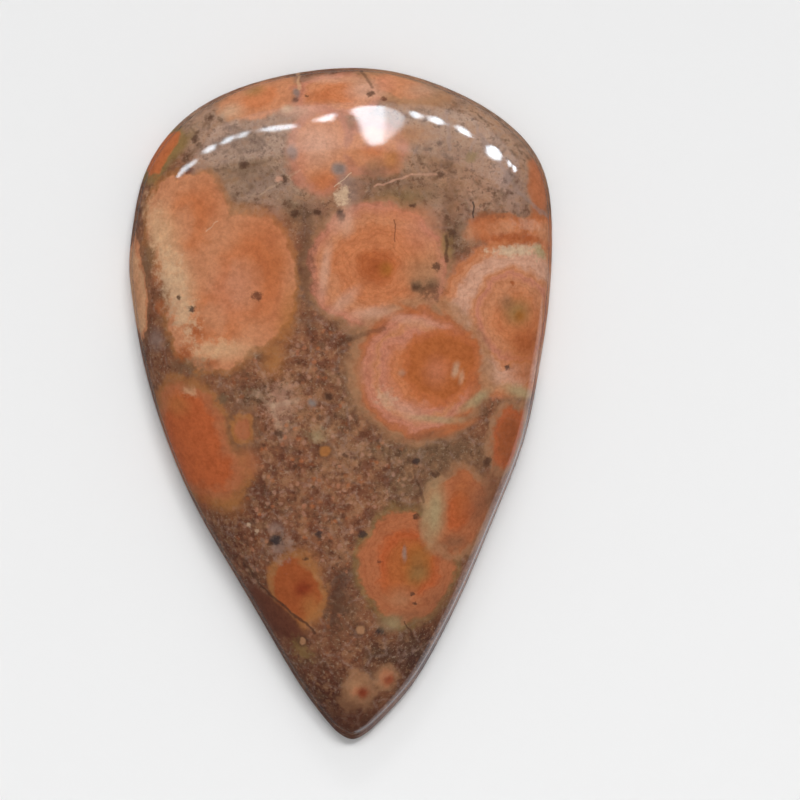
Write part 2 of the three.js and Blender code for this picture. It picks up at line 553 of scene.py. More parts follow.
# Poppies: name, lobes of x, y, half width, half height and turn, and bands from the edge inwards of
# depth, colour and opacity. A negative depth is outside the edge.
POPPIES = [
    ("left strip", [(137, 290, 12, 56, -5)], [
        (-6, "umber", 0), (0, "umber", 0.6), (4, "peach", 1), (12, "butter", 1),
    ]),
    ("upper left", [(160, 155, 15, 30, 30)], [
        (-9, "loam", 0), (-1, "olive", 0.8), (4, "orange", 1), (12, "orange", 1),
    ]),
    ("top left", [(258, 98, 38, 21, -15)], [
        (-9, "tan", 0), (2, "peach", 0.9), (9, "peach", 1), (20, "apricot", 1),
    ]),
    ("top", [(340, 94, 46, 22, 0)], [
        (-6, "rose", 0), (1, "rose", 0.9), (9, "peach", 1), (24, "apricot", 1),
    ]),
    ("top right", [(402, 88, 42, 17, 14)], [
        (-14, "tan", 0), (2, "tan", 0.9), (12, "peach", 1),
    ]),
    ("right strip", [(539, 190, 11, 33, 0)], [
        (-9, "tan", 0), (4, "coral", 0.8), (10, "coral", 0.95),
    ]),
    ("under the window", [(322, 150, 30, 44, 0), (372, 150, 34, 26, 0)], [
        (-12, "tan", 0), (0, "rose", 0.7), (10, "peach", 1), (24, "peach", 1),
    ]),
    ("left cluster", [(188, 224, 44, 52, 0), (248, 282, 48, 70, 0), (215, 318, 50, 50, 0)], [
        (-12, "loam", 0), (-3, "ochre", 0.45), (2, "peach", 0.95), (14, "peach", 1), (30, "apricot", 1),
        (42, "peach", 1),
    ]),
    ("middle", [(378, 267, 70, 63, 0)], [
        (-13, "loam", 0), (-3, "tan", 0.6), (3, "rose", 0.95), (16, "peach", 1), (30, "apricot", 1),
        (42, "apricot", 1), (54, "orange", 1), (66, "brick", 1),
    ]),
    ("orange band", [(500, 229, 32, 14, 0), (546, 234, 32, 18, 8)], [
        (-8, "tan", 0), (0, "orange", 0.7), (7, "apricot", 0.9), (16, "peach", 0.9),
    ]),
    ("right", [(517, 318, 78, 77, 0)], [
        (-8, "rose", 0), (0, "apricot", 0.8), (6, "peach", 1), (14, "shell", 1), (22, "shell", 1),
        (30, "peach", 1), (34, "rose", 1), (42, "peach", 1), (58, "apricot", 1),
    ]),
    ("lower middle", [(419, 372, 64, 64, 0)], [
        (-16, "loam", 0), (-4, "tan", 0.7), (4, "coral", 1), (12, "rose", 1), (19, "peach", 1),
        (24, "rose", 1), (40, "apricot", 1),
    ]),
    ("its heart", [(441, 366, 39, 37, 0)], [
        (-6, "orange", 0), (3, "orange", 0.9), (9, "amber", 1), (22, "amber", 1), (34, "orange", 1),
    ]),
    ("lower left", [(192, 440, 42, 62, -10), (215, 470, 34, 32, 0)], [
        (-12, "umber", 0), (-1, "ochre", 0.6), (7, "coral", 0.95), (18, "ember", 1), (40, "ember", 1),
    ]),
    ("beside it", [(245, 430, 15, 22, 0)], [
        (-8, "loam", 0), (2, "umber", 0.5), (8, "ochre", 0.7), (14, "coral", 0.8),
    ]),
    ("lower right", [(408, 565, 50, 57, 0)], [
        (-10, "loam", 0), (-2, "olive", 0.5), (4, "coral", 0.95), (14, "coral", 1), (24, "ember", 1),
        (36, "amber", 1),
    ]),
    ("beyond it", [(458, 512, 38, 46, 10)], [
        (-8, "umber", 0), (1, "tan", 0.7), (9, "coral", 1), (20, "coral", 1), (32, "ember", 1),
    ]),
    ("right edge", [(507, 437, 21, 38, 10)], [
        (-7, "umber", 0), (1, "tan", 0.7), (9, "ember", 0.8), (16, "brick", 0.8),
    ]),
    ("lowest left", [(298, 589, 26, 38, -10)], [
        (-12, "maroon", 0), (1, "ochre", 0.7), (9, "brick", 1), (20, "brick", 1),
    ]),
    ("tip", [(357, 690, 19, 19, 0)], [
        (-6, "umber", 0), (2, "tan", 0.7), (9, "tan", 0.9), (16, "peach", 0.9),
    ]),
    ("beside the tip", [(386, 676, 14, 13, 0)], [
        (-5, "umber", 0), (2, "tan", 0.6), (9, "peach", 0.8),
    ]),
]

# Poppies with fine lines that run along their bands
LINED = ("middle", "right", "lower middle", "lower right", "beyond it", "top")

# Small round beads with a dark rim: x, y, radius, colour inside
BEADS = [
    (361, 628, 5, "tan"),
    (325, 451, 6, "ochre"),
    (303, 640, 4, "tan"),
]

# Soft stains over the poppies and the rock, stored on the mesh too, as in ROCK
PATCHES = [
    (255, 91, 12, 9, 0, 0.9, 0.6, "olive"),
    (366, 92, 20, 14, 0, 0.9, 0.95, "shell"),
    (300, 112, 24, 9, 0, 0.9, 0.6, "shell"),
    (330, 80, 30, 5, 0, 0.8, 0.5, "shell"),
    (320, 98, 14, 8, 0, 0.9, 0.6, "orange"),
    (425, 90, 26, 12, -20, 0.9, 0.6, "taupe"),
    (385, 84, 12, 12, 0, 0.9, 0.5, "rose"),
    (180, 150, 6, 24, 35, 0.7, 0.7, "olive"),
    (232, 112, 14, 10, 0, 0.9, 0.6, "cream"),
    # Partly the poppy's palest pink and partly a painted reflection of the pale haze under the window's
    # highlight
    (316, 148, 28, 24, 0, 0.9, 0.75, "shell"),
    (300, 165, 12, 18, 0, 0.9, 0.5, "rose"),
    (325, 183, 16, 12, 0, 0.9, 0.7, "orange"),
    (374, 152, 15, 8, 0, 0.9, 0.7, "orange"),
    (393, 163, 10, 14, 0, 0.9, 0.7, "ochre"),
    (375, 172, 14, 10, 0, 0.9, 0.6, "loam"),
    (410, 136, 20, 11, 10, 0.9, 0.7, "ochre"),
    (340, 171, 8, 8, 0, 0.6, 0.9, "slate"),
    (346, 183, 8, 7, 0, 0.6, 0.7, "lilac"),
    (347, 218, 8, 22, 0, 0.9, 0.6, "shell"),
    (352, 196, 10, 16, 0, 0.9, 0.6, "lilac"),
    (341, 217, 4.5, 7, 0, 0.3, 0.9, "soot"),
    (293, 154, 6, 9, -10, 0.6, 0.7, "slate"),
    (297, 94, 3.5, 7, -25, 0.5, 0.7, "slate"),
    (296, 101, 3, 4, 0, 0.5, 0.7, "soot"),
    (287, 110, 6, 5, 0, 0.8, 0.7, "cream"),
    (207, 205, 20, 28, 0, 0.9, 0.6, "orange"),
    (265, 245, 30, 36, 20, 0.9, 0.7, "orange"),
    (272, 295, 20, 46, -10, 0.9, 0.6, "orange"),
    (280, 265, 12, 18, 0, 0.9, 0.5, "amber"),
    (288, 320, 10, 34, 10, 0.9, 0.6, "ochre"),
    (275, 362, 13, 18, 0, 0.8, 0.7, "ochre"),
    (235, 290, 26, 30, 0, 0.9, 0.4, "rose"),
    (168, 238, 16, 36, -12, 0.95, 0.75, "butter"),
    (182, 285, 16, 34, -15, 0.95, 0.75, "butter"),
    (230, 352, 30, 10, -5, 0.95, 0.6, "butter"),
    (137, 290, 12, 48, -5, 0.9, 0.5, "apricot"),
    (163, 307, 8, 9, 0, 0.7, 0.8, "orange"),
    (160, 275, 8, 14, 0, 0.8, 0.5, "apricot"),
    (197, 331, 10, 10, 0, 0.7, 0.7, "brick"),
    (186, 354, 12, 9, -35, 0.7, 0.7, "brick"),
    (212, 363, 10, 6, 0, 0.7, 0.6, "brick"),
    (157, 340, 9, 13, 0, 0.8, 0.6, "lilac"),
    (150, 258, 7, 30, 10, 0.9, 0.6, "loam"),
    (386, 270, 8, 8, 0, 0.8, 0.9, "honey"),
    (372, 274, 16, 16, 0, 0.9, 0.6, "brick"),
    (420, 230, 22, 24, 0, 0.9, 0.5, "rose"),
    (326, 272, 6, 30, 8, 0.8, 0.75, "shell"),
    (345, 302, 7, 20, 45, 0.8, 0.7, "shell"),
    (372, 314, 24, 7, -8, 0.8, 0.8, "shell"),
    (340, 225, 14, 12, 0, 0.9, 0.5, "shell"),
    (424, 275, 22, 22, 0, 0.9, 0.75, "tan"),
    (417, 287, 9, 7, 35, 0.8, 0.85, "loam"),
    (415, 288, 5, 4, 35, 0.8, 0.8, "bark"),
    (432, 284, 9, 6, 0, 0.8, 0.7, "loam"),
    (410, 311, 18, 3, 25, 0.8, 0.7, "orange"),
    (400, 216, 30, 9, 0, 0.9, 0.5, "apricot"),
    (356, 378, 9, 34, 0, 0.9, 0.6, "tan"),
    (413, 322, 30, 6, 10, 0.9, 0.5, "shell"),
    (467, 360, 9, 24, 0, 0.9, 0.6, "amber"),
    (436, 372, 14, 16, 0, 0.9, 0.4, "rose"),
    (408, 411, 24, 8, 25, 0.9, 0.6, "shell"),
    (476, 400, 24, 5, -35, 0.9, 0.75, "moss"),
    (438, 419, 30, 4, 5, 0.8, 0.6, "moss"),
    (428, 436, 34, 5, -6, 0.8, 0.6, "rust"),
    (456, 428, 27, 4, -20, 0.9, 0.7, "orange"),
    (455, 370, 4, 9, 5, 0.7, 0.6, "cream"),
    (461, 378, 3, 8, 5, 0.7, 0.4, "cream"),
    (402, 373, 4, 4, 0, 0.8, 0.5, "taupe"),
    (517, 313, 17, 15, 0, 0.9, 0.8, "olive"),
    (505, 303, 9, 9, 0, 0.8, 0.5, "loam"),
    (519, 316, 7, 7, 0, 0.9, 0.8, "honey"),
    (526, 350, 26, 30, 0, 0.9, 0.75, "amber"),
    (526, 342, 18, 12, 0, 0.9, 0.7, "brick"),
    (525, 375, 22, 12, 0, 0.9, 0.6, "amber"),
    (486, 232, 14, 7, 0, 0.8, 0.4, "orange"),
    (470, 234, 10, 8, 0, 0.9, 0.7, "peach"),
    (532, 240, 20, 4, 5, 0.7, 0.5, "brick"),
    (520, 392, 32, 7, 15, 0.8, 0.8, "moss"),
    (488, 372, 10, 24, -20, 0.9, 0.4, "tan"),
    (189, 388, 7, 5, 0, 0.9, 0.5, "tan"),
    (230, 505, 22, 12, 0, 0.9, 0.5, "ochre"),
    (204, 498, 13, 13, 0, 0.9, 0.6, "brick"),
    (250, 462, 13, 16, 0, 0.9, 0.7, "coral"),
    (178, 405, 16, 12, 0, 0.9, 0.5, "ochre"),
    (417, 562, 16, 20, 15, 0.8, 0.9, "honey"),
    (418, 574, 14, 10, 0, 0.9, 0.6, "olive"),
    (418, 562, 12, 14, 0, 0.9, 0.35, "umber"),
    (395, 578, 12, 26, 20, 0.9, 0.5, "amber"),
    (402, 596, 20, 12, 0, 0.9, 0.6, "tan"),
    (404, 553, 2.5, 8, 0, 0.6, 0.8, "lilac"),
    (434, 512, 12, 34, 5, 0.9, 0.85, "moss"),
    (462, 496, 11, 30, 5, 0.9, 0.5, "amber"),
    (454, 542, 18, 9, 0, 0.9, 0.6, "umber"),
    (486, 498, 13, 32, 18, 0.9, 0.8, "rust"),
    (471, 503, 12, 22, 10, 0.9, 0.35, "rust"),
    (303, 588, 10, 10, 0, 0.95, 0.85, "red"),
    (275, 613, 46, 12, 43, 0.25, 0.95, "maroon"),
    # Partly dark rock and partly painted shade on the point, which slopes away from the key lamp
    (350, 720, 40, 30, 0, 0.9, 0.6, "oxblood_and_shade"),
    (405, 616, 30, 8, -5, 0.9, 0.5, "umber"),
    (436, 600, 22, 14, -45, 0.9, 0.4, "rust"),
    (312, 608, 12, 15, 0, 0.9, 0.7, "ochre"),
    (364, 691, 7, 7, 0, 0.8, 0.9, "red"),
    (389, 679, 7, 7, 0, 0.8, 0.8, "red"),
    (276, 539, 6, 5, -20, 0.6, 0.95, "soot"),
    (276, 527, 9, 6, 0, 0.8, 0.6, "lilac"),
    (313, 403, 5, 3.5, 0, 0.6, 0.9, "slate"),
    (329, 396, 6, 3.5, 20, 0.7, 0.8, "bark"),
    (380, 630, 6, 3.5, 0, 0.5, 0.95, "soot"),
    (392, 622, 14, 9, 0, 0.9, 0.5, "moss"),
    (318, 436, 7, 6, 0, 0.9, 0.35, "moss"),
]

# Crumbly patches, which noise breaks up, as in ROCK
CRUSTS = [
    (344, 196, 8, 9, 0, 0.7, 1.0, "cream"),
    (156, 225, 10, 34, -15, 0.9, 0.6, "butter"),
    (170, 272, 11, 30, -15, 0.9, 0.8, "butter"),
    (184, 312, 12, 26, -15, 0.9, 0.8, "butter"),
    (212, 350, 24, 9, -15, 0.9, 0.7, "butter"),
    (166, 304, 9, 22, -10, 0.9, 0.35, "loam"),
    (178, 296, 14, 44, -15, 0.9, 0.35, "cream"),
    (190, 366, 24, 8, 0, 0.9, 0.6, "loam"),
    (460, 226, 9, 9, 0, 0.9, 0.5, "loam"),
    (250, 175, 30, 22, 0, 0.9, 0.4, "loam"),
    (235, 140, 34, 14, -15, 0.9, 0.2, "bark"),
    (430, 196, 36, 14, 0, 0.9, 0.3, "loam"),
    (455, 165, 40, 22, 0, 0.9, 0.2, "bark"),
    (450, 198, 8, 20, 0, 0.9, 0.5, "umber"),
    (308, 270, 8, 50, 0, 0.9, 0.5, "bark"),
    (278, 624, 36, 11, 42, 0.5, 0.85, "maroon"),
    (302, 648, 14, 9, 40, 0.8, 0.6, "olive"),
    (338, 600, 10, 34, 8, 0.6, 0.7, "bark"),
    (518, 250, 36, 6, -3, 0.7, 1.0, "cream"),
    (540, 252, 12, 7, 0, 0.7, 0.8, "moss"),
    (512, 240, 38, 5, 3, 0.9, 0.8, "brick"),
    (488, 222, 18, 9, 0, 0.9, 0.5, "brick"),
    (528, 226, 20, 7, 0, 0.9, 0.5, "shell"),
    (490, 215, 24, 4, 0, 0.9, 0.5, "umber"),
    (190, 392, 8, 5, 0, 0.9, 0.5, "butter"),
    (446, 250, 8, 14, 0, 0.9, 0.5, "olive"),
    (318, 436, 12, 9, 0, 0.9, 0.35, "moss"),
    (282, 400, 16, 22, 20, 0.9, 0.4, "shell"),
    (385, 398, 12, 8, 45, 0.9, 0.5, "cream"),
    (430, 292, 12, 8, 0, 0.9, 0.7, "bark"),
    (282, 545, 14, 16, 0, 0.9, 0.6, "lilac"),
]

# Small specks: x, y, size, colour
SPECKS = [
    (211, 119, 3, "bark"),
    (195, 140, 3.5, "bark"),
    (190, 172, 4, "maroon"),
    (245, 167, 4, "bark"),
    (285, 181, 4, "bark"),
    (296, 215, 4, "bark"),
    (318, 215, 2.6, "bark"),
    (280, 181, 3, "shell"),
    (307, 97, 1.6, "bark"),
    (371, 95, 3, "bark"),
    (384, 100, 2.2, "maroon"),
    (180, 298, 2, "bark"),
    (193, 309, 3, "soot"),
    (258, 297, 4, "maroon"),
    (412, 206, 2.4, "bark"),
    (436, 268, 4, "bark"),
    (452, 234, 4, "bark"),
    (507, 368, 2.6, "soot"),
    (512, 284, 2, "brick"),
    (440, 176, 3, "bark"),
    (471, 158, 5, "olive"),
    (280, 434, 3.5, "bark"),
    (224, 399, 4.5, "loam"),
    (329, 397, 3, "bark"),
    (345, 455, 2.6, "bark"),
    (297, 467, 2.4, "bark"),
    (250, 524, 2, "cream"),
    (258, 530, 2, "cream"),
    (319, 534, 3, "soot"),
    (362, 533, 3.5, "soot"),
    (307, 558, 2, "bark"),
    (380, 560, 1.8, "maroon"),
    (412, 592, 2, "bark"),
    (414, 602, 1.8, "bark"),
    (416, 516, 2.5, "bark"),
    (416, 460, 3.5, "soot"),
    (277, 539, 5, "soot"),
    (271, 543, 2.5, "bark"),
    (436, 474, 3.5, "bark"),
    (487, 461, 4, "bark"),
]

# Thin seams through the stone: x and y of both ends, width, strength, colour
SEAMS = [
    (245, 562, 264, 588, 2.5, 0.7, "bark"),
    (264, 588, 284, 604, 2.5, 0.8, "bark"),
    (284, 604, 316, 632, 2.5, 0.8, "bark"),
    (298, 72, 300, 90, 3, 0.5, "butter"),
    (372, 88, 362, 72, 3, 0.5, "bark"),
    (395, 222, 395, 243, 1.5, 0.6, "maroon"),
    (446, 112, 450, 150, 3.5, 0.45, "lilac"),
    (478, 130, 468, 158, 3.5, 0.4, "lilac"),
    (276, 163, 300, 196, 2, 0.22, "cream"),
    (262, 196, 300, 172, 2, 0.22, "cream"),
    (446, 238, 446, 262, 3, 0.7, "bark"),
    (340, 344, 384, 328, 5, 0.4, "bark"),
    (375, 188, 412, 176, 2, 0.6, "shell"),
    (412, 176, 440, 176, 2, 0.4, "shell"),
    (472, 204, 474, 218, 1.5, 0.8, "soot"),
    (336, 188, 352, 174, 1.2, 0.8, "cream"),
    (404, 620, 414, 638, 2, 0.7, "bark"),
    (414, 470, 424, 500, 2.5, 0.5, "bark"),
    (208, 233, 218, 222, 1, 0.5, "cream"),
    (256, 392, 274, 406, 5, 0.22, "cream"),
    (274, 406, 298, 400, 5, 0.26, "cream"),
    (274, 406, 282, 438, 5, 0.24, "cream"),
    # Painted reflection: these two lilac lines paint the lilac-grey haze that the right shoulder mirrors,
    # not seams in the stone
    (480, 137, 517, 193, 5, 0.5, "lilac"),
    (517, 193, 547, 217, 3.5, 0.6, "lilac"),
]


BODY_DEPTH = 0.6  # a marking's half depth in the stone, as a share of its half width and height together
WOBBLE = 26  # pixels of the picture, the whole play of the noise that bends the poppies' bands
MOTTLE = (0.3, 0.16, 0.09, 1.0)  # what the dark mottling multiplies the stone's colour by
GROWTH_LINE = (0.72, 0.56, 0.46, 1.0)  # and what the fine lines in the poppies do


class Painter:
    """Lays one marking over another, in the nodes of a geometry or of a material."""

    def __init__(self, tree, colours, surface, place):
        self.tree = tree
        self.colours = colours
        self.surface = surface
        self.point = place.scaled(1 / MM)
        self.drifted = self.warped(self.point, 0.45, 0.35)
        self.ragged = self.warped(self.drifted, 2.6, 0.3)
        self.seam_point = self.warped(self.point, 1.2, 0.5)
        self.grain = self.noise(self.point, 4.6, 3.0, 0.65)[0]
        self.crumb = self.noise(self.point, 2.1, 3.0, 0.7)[0]
        self.wobble = (self.noise(self.point, 0.62, 3.0, 0.6)[0] - 0.5) * WOBBLE
        self.colour = None
        self.unstained = None  # how much of what is underneath still shows, where that is kept

    def split(self, colour):
        """A colour's red, green and blue."""
        family = "Shader" if self.tree.type == "SHADER" else "Function"
        return node_of(self.tree, f"{family}NodeSeparateColor", colour)

    def noise(self, point, scale, detail=2.0, roughness=0.5):
        values = {"Vector": point, "Scale": scale, "Detail": detail, "Roughness": roughness}
        return node_of(self.tree, "ShaderNodeTexNoise", named=values)

    def warped(self, point, scale, amount):
        """The place pushed about by noise, so that edges run unevenly."""
        cloud = self.split(self.noise(point, scale)["Color"])
        parts = [cloud[name] for name in ("Red", "Green", "Blue")]
        drift = node_of(self.tree, "ShaderNodeCombineXYZ", *parts)["Vector"]
        return point.vector("ADD", drift.vector("SUBTRACT", (0.5, 0.5, 0.5)).scaled(amount))

    def cells(self, point, scale, **settings):
        values = {"Vector": point, "Scale": scale}
        return node_of(self.tree, "ShaderNodeTexVoronoi", named=values, **settings)

    def tone(self, amount):
        """Multiplies what is there by a grey."""
        grey = node_of(self.tree, "ShaderNodeCombineColor", amount, amount, amount)[0]
        self.lay(1.0, grey, "MULTIPLY")

    def shade(self, name):
        """A named colour, as the light-linear value that nodes take."""
        srgb = getattr(self.colours, name)
        return [*(((c + 0.055) / 1.055) ** 2.4 if c > 0.04045 else c / 12.92 for c in srgb), 1.0]

    def lay(self, mask, colour, blend="MIX"):
        """Paints a colour over what is there, where the mask is."""
        mix = self.tree.nodes.new("ShaderNodeMix")
        mix.data_type = "RGBA"
        mix.blend_type = blend
        sockets = {"Factor_Float": mask, "A_Color": self.colour, "B_Color": colour}
        for socket in mix.inputs:
            value = sockets.get(socket.identifier)
            if isinstance(value, Field):
                self.tree.links.new(value.socket, socket)
            elif value is not None:
                socket.default_value = value
        self.colour = Field(self.tree, mix.outputs[2])
        if self.unstained is not None:
            self.unstained = (1 - mask) * self.unstained

    def distance(self, x, y, half_width, half_height, turn=0):
        """How far the place is from the middle of an egg-shaped body, whose surface is at one."""
        centre = self.surface.under(x, y)
        axes = Euler((0, 0, math.radians(-turn))).to_matrix().col
        widths = [half_width * PIXEL / MM, half_height * PIXEL / MM]
        widths.append(BODY_DEPTH * sum(widths))
        scaled = [axis / width for axis, width in zip(axes, widths)]
        shift = [-centre.dot(axis) for axis in scaled]
        if turn == 0:
            steps = [1 / width for width in widths]
            return node_of(
                self.tree, "ShaderNodeVectorMath", self.ragged, steps, shift, operation="MULTIPLY_ADD"
            )["Vector"].size
        parts = [
            node_of(self.tree, "ShaderNodeVectorMath", self.ragged, axis, operation="DOT_PRODUCT")["Value"]
            for axis in scaled
        ]
        return node_of(self.tree, "ShaderNodeCombineXYZ", *parts)["Vector"].vector("ADD", shift).size

    def patch(self, x, y, half_width, half_height, turn, softness, strength, colour):
        distance = self.distance(x, y, half_width, half_height, turn)
        mask = distance.span(1 + softness / 2, 1 - softness, 0.0, strength)
        self.lay(mask, self.shade(colour))

    def crust(self, x, y, half_width, half_height, turn, softness, strength, colour):
        distance = self.distance(x, y, half_width, half_height, turn)
        worn = distance + (self.crumb - 0.5) * 3.4
        self.lay(worn.span(1 + softness / 2, 1 - softness, 0.0, strength), self.shade(colour))

    def bead(self, x, y, radius, colour):
        self.patch(x, y, radius + 3, radius + 3, 0, 0.6, 0.7, "bark")
        self.patch(x, y, radius, radius, 0, 0.4, 0.9, colour)

    def speck(self, x, y, size, colour):
        ragged = self.distance(x, y, size * 1.4, size * 1.2) + (self.grain - 0.5) * 1.7
        self.lay(ragged.span(1.3, 0.4, 0.0, 0.8), self.shade(colour))

    def poppy(self, lobes, bands, lined):
        """A body with bands of colour that follow its edge, and with fine lines if it is lined."""
        depth = None
        for lobe in lobes:
            size = (lobe[2] + lobe[3]) / 2
            inside = (1 - self.distance(*lobe)) * size
            depth = inside if depth is None else depth.math("SMOOTH_MAX", inside, 6.0)
        low, high = bands[0][0], bands[-1][0]
        depth = depth + self.wobble
        ramp = node_of(self.tree, "ShaderNodeValToRGB", (depth - low) / (high - low))
        stops = ramp.node.color_ramp
        stops.interpolation = "EASE"
        while len(stops.elements) < len(bands):
            stops.elements.new(1.0)
        for stop, (at, colour, opacity) in zip(stops.elements, bands):
            stop.position = (at - low) / (high - low)
            stop.color = (*self.shade(colour)[:3], opacity)
        self.lay(ramp["Alpha"], ramp["Color"])
        if lined:
            line = (depth * 1.1).math("SINE").span(0.2, 1.0, 0.0, 0.28)
            self.lay(ramp["Alpha"] * line, GROWTH_LINE, "MULTIPLY")

    def seam(self, x1, y1, x2, y2, width, strength, colour):
        """A thin sheet of colour that stands upright in the stone."""
        start, end = in_frame(x1, y1) / MM, in_frame(x2, y2) / MM
        along = end - start
        offset = self.seam_point.vector("SUBTRACT", (*start, 0.0))
        flat = offset.vector("MULTIPLY", (1.0, 1.0, 0.0))
        values = (*(along / along.length_squared), 0.0)
        share = node_of(self.tree, "ShaderNodeVectorMath", flat, values, operation="DOT_PRODUCT")["Value"]
        share = share.math("MINIMUM", 1.0).math("MAXIMUM", 0.0)
        reach = node_of(
            self.tree, "ShaderNodeVectorMath", (*along, 0.0), named={"Scale": share}, operation="SCALE"
        )["Vector"]
        distance = flat.vector("SUBTRACT", reach).size
        half = width * PIXEL / MM / 2
        self.lay(distance.span(half * 1.6, half * 0.4, 0.0, strength), self.shade(colour))

    def rock(self):
        """The speckled rock between the poppies."""
        cloud = self.noise(self.drifted, 0.8, 4.0, 0.62)[0]
        self.lay(cloud.span(0.52, 0.64, 0.0, 0.35), self.shade("loam"))
        self.lay(cloud.span(0.47, 0.36, 0.0, 0.35), self.shade("tan"))
        self.lay(self.crumb.span(0.53, 0.66, 0.0, 0.55), self.shade("bark"))
        self.lay(self.crumb.span(0.47, 0.34, 0.0, 0.4), self.shade("tan"))
        web = self.cells(self.ragged, 0.9, feature="DISTANCE_TO_EDGE")["Distance"]
        self.lay(web.span(0.2, 0.0, 0.0, 0.4) * cloud.span(0.45, 0.58), self.shade("bark"))
        cracks = self.cells(self.drifted, 0.5, feature="DISTANCE_TO_EDGE")["Distance"]
        self.lay(cracks.span(0.09, 0.0, 0.0, 0.4) * self.crumb.span(0.6, 0.4), self.shade("lilac"))
        sandy = self.distance(315, 470, 120, 190).span(1.15, 0.5, 0.15, 1.0)
        grains = self.cells(self.ragged, 2.4)
        pick = self.split(grains["Color"])
        body = grains["Distance"].span(0.6, 0.15) * sandy
        self.lay(body * pick["Red"].span(0.5, 0.8, 0.0, 0.4), self.shade("shell"))
        self.lay(body * pick["Green"].span(0.66, 0.82, 0.0, 0.6), self.shade("bark"))
        self.lay(body * pick["Blue"].span(0.7, 0.9, 0.0, 0.5), self.shade("orange"))
        lump = self.noise(self.ragged, 1.2, 3.0, 0.6)[0]
        self.lay(sandy * lump.span(0.52, 0.62, 0.0, 0.6), self.shade("maroon"))
        self.lay(sandy * lump.span(0.48, 0.38, 0.0, 0.4), self.shade("tan"))
        self.lay(self.grain.span(0.54, 0.7, 0.0, 0.4), self.shade("bark"))
        self.lay(self.grain.span(0.46, 0.3, 0.0, 0.32), self.shade("cream"))

    def kept(self, name):
        """A value that the geometry's nodes stored on the stone."""
        return node_of(self.tree, "ShaderNodeAttribute", attribute_name=name)

    def paint(self):
        """The stone's whole colour, from the rock up to the smallest specks."""
        # The flat back is one face, so what is stored at its corners isn't used on it
        back = node_of(self.tree, "ShaderNodeSeparateXYZ", self.point)["Z"].span(0.03, 0.01)
        self.colour = self.kept("ground")["Color"]
        self.lay(back, self.shade("rust"))
        self.rock()
        for name, lobes, bands in POPPIES:
            self.poppy(lobes, bands, name in LINED)
        unmarked = self.colour
        self.tone(self.kept("unstained")["Fac"])
        self.lay(1.0, self.kept("stains")["Color"], "ADD")
        self.lay(back, unmarked)
        for mark in CRUSTS:
            self.crust(*mark)
        for bead in BEADS:
            self.bead(*bead)
        for seam in SEAMS:
            self.seam(*seam)
        for speck in SPECKS:
            self.speck(*speck)
        mottle = self.noise(self.point, 1.7, 4.0, 0.62)[0]
        self.lay(mottle.span(0.4, 0.66, 0.0, 0.22), MOTTLE, "MULTIPLY")
        self.tone(1 + (self.grain - 0.5) * 0.55)
        return self.colour


def paint_jasper(material, colours, surface):
    """Builds the material of the polished stone, with all its markings."""
    material.use_nodes = True
    tree = material.node_tree
    tree.nodes.clear()
    painter = Painter(tree, colours, surface, node_of(tree, "ShaderNodeTexCoord")["Object"])
    colour = painter.paint()
    height = node_of(tree, "ShaderNodeSeparateXYZ", painter.point)["Z"]
    grit = painter.noise(painter.point, 6.0, 3.0, 0.7)[0]
    polish = height.span(0.3, 1.6, 0.5, 0.035) + (grit - 0.5) * 0.03
    relief = painter.noise(painter.point, 9.0, 4.0, 0.7)[0]
    bump = node_of(
        tree, "ShaderNodeBump", named={"Strength": 0.06, "Distance": 0.00002, "Height": relief}
    )["Normal"]
    shader = node_of(
        tree,
        "ShaderNodeBsdfPrincipled",
        named={"Base Color": colour, "Roughness": polish, "IOR": 1.54, "Normal": bump},
    )
    node_of(tree, "ShaderNodeOutputMaterial", shader[0])


# Highlights on the shoulder: name, brightness and the corners of its outline in the picture
LAMPS = [
    ("streak_1", 0.45, [(176, 177), (182, 168), (196, 159), (197, 162), (186, 171), (179, 177)]),
    ("streak_2", 0.6, [(202, 152), (208, 147), (216, 144), (215, 149), (207, 153)]),
    ("streak_3", 0.6, [(220, 144), (226, 138), (234, 135), (234, 139), (227, 143)]),
    ("streak_4", 0.6, [(236, 138), (241, 133), (248, 131), (247, 135), (241, 138)]),
    ("streak_5", 0.6, [(257, 130), (275, 126), (296, 124), (294, 128), (276, 131), (262, 131)]),
    ("streak_6", 0.7, [(313, 121), (324, 116), (336, 113), (333, 120), (321, 122)]),
    ("window", 0.6, [(350, 110), (362, 106), (384, 106), (384, 143), (371, 146), (363, 136), (359, 122)]),
    ("window_side", 0.32, [(384, 106), (396, 110), (405, 117), (402, 127), (393, 136), (384, 143)]),
    ("streak_7", 0.8, [(410, 113), (415, 111), (422, 115), (420, 118), (415, 119)]),
    ("streak_8", 0.8, [(428, 118), (434, 116), (441, 119), (444, 123), (440, 125), (432, 122)]),
    ("streak_9", 0.8, [(456, 127), (461, 126), (468, 131), (472, 137), (466, 136), (459, 132)]),
    (
        "streak_10",
        0.85,
        [(486, 148), (491, 145), (497, 148), (502, 155), (500, 160), (493, 159), (487, 154)],
    ),
    ("streak_11", 0.8, [(507, 161), (510, 161), (512, 165), (509, 167)]),
    ("streak_12", 0.9, [(512, 166), (515, 166), (517, 171), (514, 172)]),
]

# The pale haze round the highlights comes from a wide dim panel behind the lamps
HAZE = [
    (190, 175), (215, 128), (260, 112), (330, 104), (400, 104), (470, 116),
    (520, 165), (505, 190), (450, 160), (390, 152), (320, 150), (250, 160),
]


def emitter(name, corners, strength, tint):
    """A flat shining panel of the stage, which is seen in the polish alone."""
    mesh = bpy.data.meshes.new(name)
    mesh.from_pydata(corners, [], [tuple(range(len(corners)))])
    panel = bpy.data.objects.new(name, mesh)
    bpy.context.scene.collection.objects.link(panel)
    material = bpy.data.materials.new(name)
    material.use_nodes = True
    tree = material.node_tree
    tree.nodes.clear()
    glow = node_of(tree, "ShaderNodeEmission", (*tint, 1.0), strength)
    node_of(tree, "ShaderNodeOutputMaterial", glow[0])
    mesh.materials.append(material)
    panel.visible_camera = False
    panel.visible_diffuse = False


